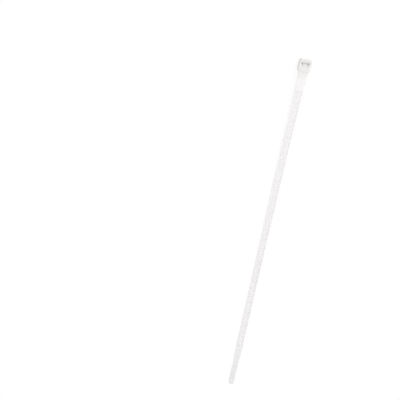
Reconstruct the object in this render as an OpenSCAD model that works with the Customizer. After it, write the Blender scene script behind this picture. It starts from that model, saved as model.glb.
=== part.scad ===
// Cable tie moulded in one piece: ratchet head, neck, toothed strap and grip tail.
// It lies with its teeth up, on the head's exit face and on the last stretch of its strap.
// X runs from the slot to the tail, Y across the strap, and Z = 0 is the resting plane.

/* [Strap] */
// Overall length, from the far end of the head to the tip of the tail
tie_length = 250; // [230:1:400]
// Width of the strap
strap_w = 4.8; // [4.4:0.1:7.6]
// Thickness of the strap over its rails
strap_t = 1.25; // [1.1:0.05:1.6]
// Thickness of the web under the teeth
web_t = 0.7; // [0.5:0.05:0.85]
// Width of each smooth rail beside the teeth
rail_w = 0.6; // [0.4:0.05:0.9]
// Length of strap that the head holds off the resting plane
lift_run = 185; // [120:5:190]

/* [Teeth] */
// Distance from one tooth to the next
pitch = 1.4; // [1.1:0.1:1.8]
// Depth of the tooth crests below the rails
crest_drop = 0.06; // [0.02:0.02:0.14]
// Length of the flat land on a crest
crest_land = 0.18; // [0.1:0.02:0.3]
// Length of the flat root between two teeth
root_land = 0.2; // [0.1:0.02:0.3]
// Length that the steep tooth face leans back over its height
face_lean = 0.08; // [0:0.02:0.16]
// Smooth strap between the neck and the first tooth
lead_in = 4; // [2:0.5:12]

/* [Neck] */
// Length over which the neck narrows to the strap
neck_length = 8.5; // [6:0.5:14]
// Width of the neck at the foot of its shoulders
neck_w = 6; // [5.6:0.1:8]
// Thickness of the neck where it leaves the head
neck_t = 1.95; // [1.7:0.05:2.6]
// Radius of the hollow shoulders between the head's corners and the neck
shoulder_r = 1.4; // [0.6:0.1:2]
// Radius of the fillet under the neck, at the head
root_fillet = 0.7; // [0.3:0.1:1]

/* [Tail] */
// Length of the tail that has no teeth
tail_length = 31; // [24:1:45]
// Length over which the tail narrows and thins behind the last tooth
tail_taper = 13; // [6:1:15]
// Width of the tail
tail_w = 4.05; // [3.4:0.05:4.4]
// Thickness of the tail
tail_t = 0.95; // [0.8:0.05:1.1]
// Thickness of the tip
tip_t = 0.7; // [0.5:0.05:0.8]
// Distance from one grip rib to the next
grip_pitch = 1.5; // [1.2:0.1:2]
// Height of a grip rib
grip_h = 0.2; // [0.1:0.05:0.3]
// Length of the foot of a grip rib
grip_foot = 0.8; // [0.6:0.1:1]
// Smooth margin at each side of the grip ribs
grip_margin = 0.45; // [0.3:0.05:0.8]
// Plain length between the last grip rib and the tip
grip_end = 3; // [2.5:0.5:6]

/* [Head] */
// Height of the head, from its exit face to its entry face
head_h = 6; // [5.2:0.1:7]
// Height of the entry face above the rails of the strap
head_step = 0.5; // [0.4:0.05:1]
// Wall at each side of the slot
wall_side = 1.3; // [1:0.1:2]
// Wall that the back of the strap slides on
wall_far = 1.8; // [1.4:0.1:2.6]
// Wall between the pawl's relief and the neck
wall_near = 2.5; // [1.8:0.1:3.4]
// Radius of the head's upright corners
corner_r = 1.4; // [0.8:0.1:1.7]
// Radius of the head's long edges
edge_r = 0.35; // [0.2:0.05:0.6]

/* [Slot] */
// Play between the slot and the thickness of the strap
slot_play_t = 0.3; // [0.2:0.05:0.5]
// Play at each side of the strap in the slot
slot_play_w = 0.2; // [0.1:0.05:0.4]
// Chamfer round the slot's mouth
mouth_chamfer = 0.45; // [0.2:0.05:0.6]

/* [Pawl] */
// Thickness of the pawl behind its teeth
pawl_t = 1.15; // [0.9:0.05:1.4]
// Thickness of the living hinge
hinge_t = 0.55; // [0.4:0.05:0.7]
// Gap behind the pawl, in which it swings back
relief = 1.3; // [1:0.1:1.8]
// Gap at each side of the pawl
pawl_gap = 0.35; // [0.25:0.05:0.4]
// Play between the pawl and each rail
rail_play = 0.15; // [0.1:0.05:0.25]
// Play between the tips of the pawl's teeth and the roots of the rack
bite_play = 0.05; // [0.02:0.01:0.1]
// Depth of the pawl's nose above the exit face
pawl_recess = 0.65; // [0.4:0.05:1]
// Length of the ramp that leads the tail over the pawl
ramp_l = 1.5; // [1.2:0.1:1.8]
// Depth of the foot of that ramp below the entry face
ramp_depth = 1; // [0.8:0.05:1.4]
// Chamfer of the pawl's nose
nose_chamfer = 0.25; // [0.1:0.05:0.3]

/* [Hidden] */
$fn = 64;

// Slot and head, along X
slot_t = strap_t + slot_play_t;
slot_w = strap_w + 2 * slot_play_w;
x_wall = -slot_t / 2;
x_lip = slot_t / 2;
x_far = x_wall - wall_far;
x_tooth_tip = x_wall + web_t + bite_play;
x_tooth_root = x_wall + strap_t - crest_drop + bite_play;
x_pawl_back = x_tooth_root + pawl_t;
x_relief = x_pawl_back + relief;
x_ramp = x_lip + ramp_l;
x_end = x_relief + wall_near;

// Pawl, along Z
nose_z = pawl_recess + nose_chamfer;
pawl_top = head_h - ramp_depth;
pawl_teeth = floor((pawl_top - nose_z + root_land) / pitch);

// Slope of the pawl's ramp, and the height that the hinge takes under it
ramp_slope = atan2(ramp_depth, x_ramp - x_tooth_root);
hinge_drop = hinge_t / cos(ramp_slope);

// Widths across Y
head_w = slot_w + 2 * wall_side;
rack_w = strap_w - 2 * rail_w;
pawl_w = rack_w - 2 * rail_play;
relief_w = pawl_w + 2 * pawl_gap;

// Hollow shoulder: an arc that touches the head's corner and runs out along the neck's slope
neck_slope = atan((neck_w - strap_w) / neck_length);
corner_x = x_end - corner_r;
corner_y = head_w / 2 - corner_r;
shoulder_y = neck_w / 2 + shoulder_r * cos(neck_slope);
shoulder_x = corner_x + sqrt(pow(corner_r + shoulder_r, 2) - pow(shoulder_y - corner_y, 2));
shoulder_start = 180 + atan2(shoulder_y - corner_y, shoulder_x - corner_x);
shoulder_stop = 270 - neck_slope;
x_neck = shoulder_x - shoulder_r * sin(neck_slope);

// Strap, along X
x_strap = x_neck + neck_length;
x_tip = x_far + tie_length;
x_tail = x_tip - tail_length;
x_grip = x_tail + tail_taper;
x_wedge = x_tip - grip_end;
rack_start = x_strap + lead_in;
teeth = floor((x_tail - rack_start) / pitch);
tooth_h = strap_t - crest_drop - web_t;

// Length of strap inside the head's wall, lap of the fillet into the neck, longest chord of the
// sagging side, and overrun of a cut
root_in_head = 0.8;
root_lap = 0.3;
chord = 10;
over = 1;

// Height of the strap's underside: the sag of a stiff strap that is held up at one end
lift_h = head_h - head_step - strap_t;
function run_share(x) = min(1, max(0, (x_end + lift_run - x) / lift_run));
function rise(x) = lift_h * (2 * pow(run_share(x), 3) - pow(run_share(x), 4));

// Share of a slow blend that is left at x
function blend_left(x, start) = pow(1 - min(1, max(0, (x - start) / neck_length)), 2);

// Depth that the neck adds under the strap, and half widths of the neck and of the tail
function neck_depth(x) = (neck_t - strap_t) * blend_left(x, x_end);
function neck_half(x) = (strap_w + (neck_w - strap_w) * blend_left(x, x_neck)) / 2;
function ease(k) = k * k * (3 - 2 * k);
function tail_half(k) = (strap_w - (strap_w - tail_w) * ease(k)) / 2;

// Stations along the neck and the strap
steps = 8;
neck_stops = [for (i = [0 : steps]) x_end + (x_strap - x_end) * i / steps];
spans = ceil((x_tail - x_strap) / chord);
strap_stops = [for (i = [1 : spans]) x_strap + (x_tail - x_strap) * i / spans];

// Points in reverse order
function reversed(points) = [for (i = [len(points) - 1 : -1 : 0]) points[i]];

// A profile in X and Z, extruded across the width w
module across(w) {
    translate([0, w / 2, 0]) rotate([90, 0, 0]) linear_extrude(w) children();
}

// Side of the strap: sagging underside, smooth rails on top, thin tail with a wedge at its tip
module strap_side() {
    top = concat(
        [[x_end - root_in_head, lift_h + strap_t]],
        [for (x = concat(neck_stops, strap_stops)) [x, rise(x) + strap_t]],
        [[x_grip, rise(x_grip) + tail_t], [x_wedge, tail_t], [x_tip, tip_t]]
    );
    under = concat(
        [[x_end - root_in_head, lift_h - neck_depth(x_end)]],
        [for (x = concat(neck_stops, strap_stops)) [x, rise(x) - neck_depth(x)]],
        [[x_grip, rise(x_grip)], [x_tip, 0]]
    );
    polygon(concat(top, reversed(under)));
}

// Plan of the strap: hollow shoulders at the head, narrower tail with a round end
module strap_plan() {
    shoulder = [
        for (i = [0 : steps])
            let (a = shoulder_start + (shoulder_stop - shoulder_start) * i / steps)
            [shoulder_x + shoulder_r * cos(a), shoulder_y + shoulder_r * sin(a)]
    ];
    side = concat(
        [[x_end - root_in_head, shoulder[0][1]]],
        shoulder,
        [for (i = [1 : steps]) let (x = x_neck + neck_length * i / steps) [x, neck_half(x)]],
        [for (i = [0 : steps]) [x_tail + tail_taper * i / steps, tail_half(i / steps)]]
    );
    other = [for (p = reversed(side)) [p[0], -p[1]]];
    polygon(concat(side, other));
    translate([x_grip, -tail_w / 2]) square([x_tip - tail_w / 2 - x_grip, tail_w]);
    translate([x_tip - tail_w / 2, 0]) circle(tail_w / 2);
}

// Space above the teeth. Steep faces look to the head and ramps to the tail.
module rack_space() {
    floor_z = strap_t - tooth_h - crest_drop;
    crest_z = strap_t - crest_drop;
    across(rack_w) polygon(concat(
        [for (i = [0 : teeth - 1], k = [0 : 3])
            let (
                start = rack_start + i * pitch,
                x = start + [0, root_land, root_land + face_lean, root_land + face_lean + crest_land][k]
            )
            [x, rise(x) + (k < 2 ? floor_z : crest_z)]],
        [
            [rack_start + teeth * pitch, rise(rack_start + teeth * pitch) + floor_z],
            [rack_start + teeth * pitch + tooth_h, rise(x_tail) + strap_t + over],
            [rack_start - tooth_h, rise(rack_start) + strap_t + over]
        ]
    ));
}

// Low ribs across the tail, for the fingers
module grip_ribs() {
    ribs = floor((x_wedge - x_grip) / grip_pitch);
    for (i = [0 : ribs - 1])
        translate([x_grip + (i + 0.5) * grip_pitch, 0, 0])
            across(tail_w - 2 * grip_margin) polygon([
                [-grip_foot / 2, tail_t / 2],
                [-grip_foot / 2, tail_t],
                [-grip_foot / 6, tail_t + grip_h],
                [grip_foot / 6, tail_t + grip_h],
                [grip_foot / 2, tail_t],
                [grip_foot / 2, tail_t / 2]
            ]);
}

// Section of the fillet under the neck. The head's wall is at 0.
module root_section() {
    x_root = x_end + root_fillet;
    z = rise(x_root) - neck_depth(x_root);
    reach = min(root_in_head, corner_r / 2);
    polygon(concat(
        [[-reach, z - root_fillet], [-reach, z + root_lap], [root_fillet, z + root_lap]],
        [for (i = [0 : steps]) let (a = 90 * i / steps) [root_fillet * (1 - sin(a)), z - root_fillet * (1 - cos(a))]]
    ));
}

// Fillet under the neck, along the head's end wall and round its corners
module neck_root() {
    across(2 * corner_y) translate([x_end, 0]) root_section();
    for (y = [-corner_y, corner_y])
        translate([corner_x, y, 0]) rotate_extrude() translate([corner_r, 0]) root_section();
}

// Toothed strap with its neck and tail
module strap() {
    color("whitesmoke") {
        difference() {
            intersection() {
                union() {
                    across(head_w) strap_side();
                    neck_root();
                }
                translate([0, 0, -over]) linear_extrude(head_h + 2 * over) strap_plan();
            }
            rack_space();
        }
        grip_ribs();
    }
}

// Half of the section of a block with round edges
module edge_section(half_w, h, r) {
    translate([0, r]) square([half_w, h - 2 * r]);
    square([half_w - r, h]);
    for (z = [r, h - r]) translate([half_w - r, z]) circle(r);
}

// Block of the head, with upright corners and long edges rounded
module head_block() {
    l = x_end - x_far;
    for (x = [x_far + corner_r, corner_x], y = [-corner_y, corner_y])
        translate([x, y, 0]) rotate_extrude() intersection() {
            edge_section(corner_r, head_h, edge_r);
            square([corner_r, head_h]);
        }
    translate([x_far + corner_r, 0, 0]) rotate([90, 0, 90]) linear_extrude(l - 2 * corner_r) {
        edge_section(head_w / 2, head_h, edge_r);
        mirror([1, 0]) edge_section(head_w / 2, head_h, edge_r);
    }
    translate([(x_far + x_end) / 2, 0, 0]) across(head_w - 2 * corner_r) {
        edge_section(l / 2, head_h, edge_r);
        mirror([1, 0]) edge_section(l / 2, head_h, edge_r);
    }
}

// Way of the strap through the head, with its chamfered mouth
module slot_space() {
    translate([x_wall, -slot_w / 2, -over]) cube([slot_t, slot_w, head_h + 2 * over]);
    mouth_z = head_h - mouth_chamfer;
    intersection() {
        across(head_w) polygon([
            [x_wall, mouth_z], [x_wall - mouth_chamfer, head_h],
            [x_wall - mouth_chamfer, head_h + over], [x_lip, head_h + over], [x_lip, mouth_z]
        ]);
        translate([x_far, 0, 0]) rotate([90, 0, 90]) linear_extrude(x_end - x_far) polygon([
            [-slot_w / 2, mouth_z], [-slot_w / 2 - mouth_chamfer, head_h],
            [-slot_w / 2 - mouth_chamfer, head_h + over], [slot_w / 2 + mouth_chamfer, head_h + over],
            [slot_w / 2 + mouth_chamfer, head_h], [slot_w / 2, mouth_z]
        ]);
    }
}

// Room round and behind the pawl, open at both faces of the head
module relief_space() {
    across(relief_w) polygon([
        [0, -over],
        [x_relief, -over],
        [x_relief, head_h - hinge_drop - (x_relief - x_ramp)],
        [x_ramp, head_h - hinge_drop],
        [x_ramp, head_h + over],
        [0, head_h + over]
    ]);
}

// Pawl on its living hinge. Its steep faces look to the exit face, as the rack's look to the head.
module pawl() {
    back_z = head_h - hinge_drop - (x_ramp - x_pawl_back) * tan(ramp_slope);
    tooth_ramp = pitch - root_land - crest_land;
    across(pawl_w) polygon(concat(
        [[x_ramp + hinge_t, head_h], [x_ramp, head_h], [x_tooth_root, pawl_top]],
        [for (i = [pawl_teeth - 1 : -1 : 0])
            let (z = nose_z + i * pitch)
            each [
                [x_tooth_root, z + crest_land + tooth_ramp],
                [x_tooth_tip, z + crest_land],
                [x_tooth_tip, z + face_lean],
                [x_tooth_root, z]
            ]],
        [
            [x_tooth_root + nose_chamfer, pawl_recess],
            [x_pawl_back - nose_chamfer, pawl_recess],
            [x_pawl_back, nose_z],
            [x_pawl_back, back_z],
            [x_ramp, head_h - hinge_drop],
            [x_ramp + hinge_t, head_h - hinge_drop]
        ]
    ));
}

// Ratchet head
module head() {
    color("white") {
        difference() {
            head_block();
            slot_space();
            relief_space();
        }
        pawl();
    }
}

// The whole moulding
module cable_tie() {
    union() {
        head();
        strap();
    }
}

cable_tie();
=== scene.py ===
import math
import bmesh
import bpy
from mathutils import Matrix, Vector


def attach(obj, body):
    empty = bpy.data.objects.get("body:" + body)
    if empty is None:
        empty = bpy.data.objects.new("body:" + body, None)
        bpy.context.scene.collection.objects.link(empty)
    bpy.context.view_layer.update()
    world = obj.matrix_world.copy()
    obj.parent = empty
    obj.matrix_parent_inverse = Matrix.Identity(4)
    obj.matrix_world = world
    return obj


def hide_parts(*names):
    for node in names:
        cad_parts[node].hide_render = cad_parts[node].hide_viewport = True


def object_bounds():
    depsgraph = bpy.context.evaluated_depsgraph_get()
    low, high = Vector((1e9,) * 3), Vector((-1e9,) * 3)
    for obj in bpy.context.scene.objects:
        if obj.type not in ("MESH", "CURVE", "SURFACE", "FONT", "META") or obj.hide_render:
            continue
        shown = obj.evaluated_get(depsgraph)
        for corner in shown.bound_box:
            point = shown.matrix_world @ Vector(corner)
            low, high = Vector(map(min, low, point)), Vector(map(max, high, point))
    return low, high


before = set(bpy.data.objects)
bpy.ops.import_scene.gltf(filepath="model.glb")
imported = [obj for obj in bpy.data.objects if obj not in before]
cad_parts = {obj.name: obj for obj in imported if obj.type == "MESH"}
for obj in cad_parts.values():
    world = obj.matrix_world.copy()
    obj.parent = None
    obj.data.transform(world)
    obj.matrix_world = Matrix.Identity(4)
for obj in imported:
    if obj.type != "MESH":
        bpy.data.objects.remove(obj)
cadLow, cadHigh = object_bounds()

mm = 0.001
white = (1, 1, 1, 1)


class Signal:
    # one output of a node; an expression on it adds Math nodes
    def __init__(self, paint, socket):
        self.paint = paint
        self.socket = socket

    def output(self, name):
        # another output of the same node
        return Signal(self.paint, self.socket.node.outputs[name])

    def combine(self, operation, first, second):
        return self.paint.add("ShaderNodeMath", {"operation": operation}, {0: first, 1: second})

    def __add__(self, other):
        return self.combine("ADD", self, other)

    def __radd__(self, other):
        return self.combine("ADD", other, self)

    def __sub__(self, other):
        return self.combine("SUBTRACT", self, other)

    def __rsub__(self, other):
        return self.combine("SUBTRACT", other, self)

    def __mul__(self, other):
        return self.combine("MULTIPLY", self, other)

    def __rmul__(self, other):
        return self.combine("MULTIPLY", other, self)

    def __truediv__(self, other):
        return self.combine("DIVIDE", self, other)

    def __rtruediv__(self, other):
        return self.combine("DIVIDE", other, self)

    def __pow__(self, other):
        return self.combine("POWER", self, other)

    def __rpow__(self, other):
        return self.combine("POWER", other, self)

    def __or__(self, other):
        return self.combine("MAXIMUM", self, other)

    def __ror__(self, other):
        return self.combine("MAXIMUM", other, self)

    def __gt__(self, other):
        return self.combine("GREATER_THAN", self, other)

    def __lt__(self, other):
        return self.combine("LESS_THAN", self, other)

    def within(self, span):
        # 1 between the two ends of a span and 0 outside it
        low, high = span
        return (self > low) * (self < high)


class Paint:
    # the node tree of a material or of the world
    def __init__(self, owner):
        owner.use_nodes = True
        self.tree = owner.node_tree
        self.tree.nodes.clear()

    def add(self, kind, settings=None, inputs=None, output=0):
        node = self.tree.nodes.new(kind)
        for name, value in (settings or {}).items():
            if name == "stops":
                self.setStops(node.color_ramp.elements, value)
            else:
                setattr(node, name, value)
        for key, value in (inputs or {}).items():
            if isinstance(value, Signal):
                self.tree.links.new(value.socket, node.inputs[key])
            else:
                node.inputs[key].default_value = value
        return Signal(self, node.outputs[output]) if node.outputs else None

    def setStops(self, elements, stops):
        while len(elements) < len(stops):
            elements.new(1)
        for element, (place, level) in zip(elements, stops):
            element.position = place
            element.color = (level, level, level, 1)

    def place(self):
        return self.add("ShaderNodeTexCoord", output="Object")

    def stretch(self, place, scale):
        return self.add("ShaderNodeMapping", {}, {"Vector": place, "Scale": scale})

    def noise(self, place, scale, detail):
        return self.add("ShaderNodeTexNoise", {}, {"Vector": place, "Scale": scale, "Detail": detail})

    def ramp(self, value, stops):
        return self.add("ShaderNodeValToRGB", {"stops": stops}, {0: value})

    def blend(self, share, first, second):
        return self.add(
            "ShaderNodeMix", {"data_type": "RGBA"}, {0: share, 6: first, 7: second}, output=2)

    def tint(self, colour, level):
        # a colour made darker by a level under 1
        grey = self.add("ShaderNodeCombineXYZ", {}, {0: level, 1: level, 2: level})
        return self.add("ShaderNodeVectorMath", {"operation": "MULTIPLY"}, {0: colour, 1: grey})

    def mix(self, share, first, second):
        return self.add("ShaderNodeMixShader", {}, {0: share, 1: first, 2: second})

    def seen(self):
        # 1 where a surface meets the eye by itself, in a gloss or through glass
        ray = self.add("ShaderNodeLightPath")
        through = ray.output("Is Transmission Ray")
        return ray.output("Is Camera Ray") | ray.output("Is Glossy Ray") | through


nylon = {
    "strapColour": (0.875, 0.852, 0.856, 1),   # next to the head
    # painted shade: the strap's colour darkens towards the tail, where the light falls off
    "tailShadedColour": (0.800, 0.794, 0.792, 1),
    "tailPower": 3,                            # a higher power keeps the painted shade of the tail nearer the tip
    "length": cadHigh[0],
    "headToneAndShade": (0.805, 0.788, 0.772, 1),    # warmer and darker at the thick head: partly the deeper tone of thick nylon, partly painted shade for the light that doesn't come through
    "headEnd": 5.6 * mm,
    "headFade": 6.0 * mm,                      # length over which the head's colour runs out
    "webPaintedLight": (0.905, 0.888, 0.890, 1),     # thin web under the teeth, painted lighter: painted light that passes through it and lifts the shade between the teeth
    "web": ((18.3 * mm, 215.9 * mm), (-1.81 * mm, 1.81 * mm)),
    "slotPaintedLight": (0.975, 0.968, 0.955, 1),    # the slot's walls, painted lighter as if light came through them from all sides
    "slot": ((-1.30 * mm, 3.05 * mm), (-3.15 * mm, 3.15 * mm), (0.06 * mm, 4.95 * mm)),
    # scale and detail of each pattern
    "clouds": (60, 4),                         # milky unevenness, some 15 mm across
    "streaks": (1, 3),                         # the way the melt ran
    "streakStretch": (60, 1600, 1600),
    "grain": (5200, 2),                        # matt skin of the mould
    "uneven": 0.05,                            # how much clouds and streaks darken the nylon
    "cloudShare": 0.7,                         # the clouds' part in that
    "rough": 0.36,
    "cloudRough": 0.10,
    "streakRough": 0.12,
    "bumpStrength": 0.3,
    "bumpDepth": 0.008 * mm,
    "grainBump": 0.4,
    "streakBump": 0.8,
    "refraction": 1.53,
    "glow": {
        # share of the light that goes in, how deep it goes
        "body": (0.15, 1.8 * mm),
        "thin walls": (1.0, 14 * mm),
    },
}


def makeNylon(look, part):
    material = bpy.data.materials.new("natural nylon " + part)
    paint = Paint(material)
    place = paint.place()
    along = paint.add("ShaderNodeSeparateXYZ", {}, {0: place})
    across, up = along.output("Y"), along.output("Z")

    clouds = paint.noise(place, *look["clouds"])
    streaks = paint.noise(paint.stretch(place, look["streakStretch"]), *look["streaks"])
    grain = paint.noise(place, *look["grain"])

    # painted shade: the colour darkens towards the tail
    towardsTail = (along / look["length"]) ** look["tailPower"]
    colour = paint.blend(towardsTail, look["strapColour"], look["tailShadedColour"])
    # painted light: the web between the rails is made lighter
    webAlong, webAcross = look["web"]
    web = along.within(webAlong) * across.within(webAcross)
    colour = paint.blend(web, colour, look["webPaintedLight"])
    # the head's deeper tone with painted shade, fading out over headFade
    towardsHead = (look["headEnd"] + look["headFade"] - along) / look["headFade"]
    colour = paint.blend(paint.ramp(towardsHead, [(0, 0), (1, 1)]), colour, look["headToneAndShade"])
    # painted light: the slot's walls are made lighter
    slotAlong, slotAcross, slotUp = look["slot"]
    slot = along.within(slotAlong) * across.within(slotAcross) * up.within(slotUp)
    colour = paint.blend(slot, colour, look["slotPaintedLight"])
    cloudShare = look["cloudShare"]
    shade = 1 - look["uneven"] * (clouds * cloudShare + streaks * (1 - cloudShare))

    bump = paint.add("ShaderNodeBump", {}, {
        "Strength": look["bumpStrength"],
        "Distance": look["bumpDepth"],
        "Height": grain * look["grainBump"] + streaks * look["streakBump"],
    })
    glow, depth = look["glow"][part]
    shader = paint.add("ShaderNodeBsdfPrincipled", {}, {
        "Base Color": paint.tint(colour, shade),
        "Roughness": look["rough"] + look["cloudRough"] * clouds + look["streakRough"] * streaks,
        "Normal": bump,
        "IOR": look["refraction"],
        "Subsurface Weight": glow,
        "Subsurface Radius": (1, 1, 1),
        "Subsurface Scale": depth,
    })
    paint.add("ShaderNodeOutputMaterial", {}, {0: shader})
    print("nylon made for the", part)
    return material


tie = {
    "node": "cable_tie",
    "slot": "natural_nylon",
    "weld": 0.002 * mm,                  # corners closer than this are one
    "flatWithin": 0.2,                   # degrees; faces closer in angle than this are one flat
    "roundFrom": 50,                     # degrees; a flatter edge isn't rounded
    "headEnd": 5.45 * mm,                # the head's wall towards the strap
    "rootEnd": 6.0 * mm,                 # end of the fillet under the neck
    "neckUnder": 4.5 * mm,               # the neck's underside lies below this
    "strapHalf": 1.85 * mm,              # an edge further out than this is on the strap's outside
    "tipStart": cadHigh[0] - 1.9 * mm,
    "edgeRadius": 0.12 * mm,
    "edgeSteps": 3,
    "edgeProfile": 0.5,                  # a round edge; more is squarer
    "sharpFrom": 32,                     # degrees; a steeper edge stays crisp
    # upright walls at the slot's ends and the pawl's sides: along, out from the middle, up
    "thinWalls": ((-0.9 * mm, 3.0 * mm), (1.55 * mm, 2.75 * mm), (0.05 * mm, 5.6 * mm)),
    "uprightBelow": 0.5,                 # an upright wall's normal rises less than this
}


def copyForm(source, spec):
    # the frame's own form, with its seams closed and each flat in one face
    form = bmesh.new()
    corners = [form.verts.new(vertex.co) for vertex in source.data.vertices]
    for face in source.data.polygons:
        form.faces.new([corners[index] for index in face.vertices])
    bmesh.ops.remove_doubles(form, verts=form.verts, dist=spec["weld"])
    bmesh.ops.dissolve_limit(
        form, angle_limit=math.radians(spec["flatWithin"]), verts=form.verts, edges=form.edges)
    form.normal_update()
    return form


def pickEdges(form, spec):
    # the long edges of neck, strap and tail, and the edges round the tip
    picked = []
    for edge in form.edges:
        if edge.calc_face_angle_signed() < math.radians(spec["roundFrom"]):
            continue
        start = min(vertex.co.x for vertex in edge.verts)
        inner = min(abs(vertex.co.y) for vertex in edge.verts)
        top = max(vertex.co.z for vertex in edge.verts)
        clearOfHead = start > (spec["headEnd"] if top > spec["neckUnder"] else spec["rootEnd"])
        if clearOfHead and (inner > spec["strapHalf"] or start > spec["tipStart"]):
            picked.append(edge)
    return picked


def isThinWall(face, spec):
    middle = face.calc_center_median()
    places = (middle.x, abs(middle.y), middle.z)
    within = all(low < place < high for place, (low, high) in zip(places, spec["thinWalls"]))
    return within and abs(face.normal.z) < spec["uprightBelow"]


def makeTie(spec, materials):
    form = copyForm(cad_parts[spec["node"]], spec)
    picked = pickEdges(form, spec)
    bmesh.ops.bevel(
        form, geom=picked, offset=spec["edgeRadius"], offset_type="OFFSET",
        segments=spec["edgeSteps"], profile=spec["edgeProfile"],
        affect="EDGES", clamp_overlap=False)
    bmesh.ops.remove_doubles(form, verts=form.verts, dist=spec["weld"])
    form.normal_update()
    print("rounded", len(picked), "edges")

    for edge in form.edges:
        edge.smooth = edge.calc_face_angle() < math.radians(spec["sharpFrom"])
    for face in form.faces:
        face.smooth = True
        face.material_index = 1 if isThinWall(face, spec) else 0
    mesh = bpy.data.meshes.new("moulded_tie")
    form.to_mesh(mesh)
    form.free()
    for material in materials:
        mesh.materials.append(material)

    piece = bpy.data.objects.new("moulded_tie", mesh)
    bpy.context.scene.collection.objects.link(piece)
    piece.modifiers.new("even shading", "WEIGHTED_NORMAL").keep_sharp = True
    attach(piece, "root")
    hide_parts(spec["node"])
    print("tie made")


floor = {
    "size": 6.0,
    "bounce": (0.9, 0.9, 0.9, 1),   # its colour as the tie's own light finds it
    "shadow": 0.25,                 # share of the light that falls on it; the rest is plain white
    "shadowFade": (0.275, 0.55),    # how far out that share starts to fade, and where it is gone
}


def makeFloor(spec):
    half = spec["size"] / 2
    mesh = bpy.data.meshes.new("floor")
    corners = [(-half, -half, 0), (half, -half, 0), (half, half, 0), (-half, half, 0)]
    mesh.from_pydata(corners, [], [(0, 1, 2, 3)])
    sheet = bpy.data.objects.new("floor", mesh)
    bpy.context.scene.collection.objects.link(sheet)

    material = bpy.data.materials.new("white floor")
    paint = Paint(material)
    fadeStart, fadeEnd = spec["shadowFade"]
    reach = paint.add("ShaderNodeVectorMath", {"operation": "LENGTH"}, {0: paint.place()}, "Value")
    share = paint.ramp(reach / fadeEnd, [(fadeStart / fadeEnd, spec["shadow"]), (1, 0)])
    plain = paint.add("ShaderNodeEmission", {}, {"Color": white, "Strength": 1})
    shaded = paint.add("ShaderNodeBsdfDiffuse", {}, {"Color": white})
    bounce = paint.add("ShaderNodeBsdfDiffuse", {}, {"Color": spec["bounce"]})
    surface = paint.mix(paint.seen(), bounce, paint.mix(share, plain, shaded))
    paint.add("ShaderNodeOutputMaterial", {}, {0: surface})
    mesh.materials.append(material)
    print("floor made")


light = {
    "world": 0.772,
    "aim": (0.1, 0, 0),
    "lamps": [
        # name, place, size, watts
        ("key", (-0.25, 0.35, 1.35), 1.1, 6.0),
        ("fill", (0.45, -0.7, 1.1), 1.0, 1.6),
    ],
}


def makeLight(spec):
    world = bpy.data.worlds.new("studio")
    bpy.context.scene.world = world
    paint = Paint(world)
    level = spec["world"] + (1 - spec["world"]) * paint.seen()    # plain white behind everything
    sky = paint.add("ShaderNodeBackground", {}, {"Color": white, "Strength": level})
    paint.add("ShaderNodeOutputWorld", {}, {0: sky})
    aim = Vector(spec["aim"])
    for name, place, size, watts in spec["lamps"]:
        lamp = bpy.data.lights.new(name, "AREA")
        lamp.size = size
        lamp.energy = watts
        holder = bpy.data.objects.new(name, lamp)
        holder.location = place
        holder.rotation_euler = (aim - Vector(place)).to_track_quat("-Z", "Y").to_euler()
        bpy.context.scene.collection.objects.link(holder)
    print("light made")


camera = {
    "lens": 50,
    "place": (-0.0069, -0.07055, 0.3739),
    "tilt": 16.82,      # degrees from straight down, towards the tail
    "swing": 10.3,      # degrees from +X towards +Y
    "nearest": 0.01,    # nothing nearer than this is shown
}


def makeCamera(spec):
    tilt, swing = math.radians(spec["tilt"]), math.radians(spec["swing"])
    forward = Vector((
        math.sin(tilt) * math.cos(swing), math.sin(tilt) * math.sin(swing), -math.cos(tilt)))
    right = Vector((-math.sin(swing), math.cos(swing), 0))
    up = right.cross(forward)
    turn = Matrix((right, up, -forward)).transposed().to_4x4()
    data = bpy.data.cameras.new("camera")
    data.lens = spec["lens"]
    data.clip_start = spec["nearest"]
    holder = bpy.data.objects.new("camera", data)
    holder.matrix_world = Matrix.Translation(spec["place"]) @ turn
    bpy.context.scene.collection.objects.link(holder)
    bpy.context.scene.camera = holder
    print("camera made")


makeTie(tie, [makeNylon(nylon, part) for part in ("body", "thin walls")])
makeFloor(floor)
makeLight(light)
makeCamera(camera)
bpy.context.scene.view_settings.view_transform = "Standard"
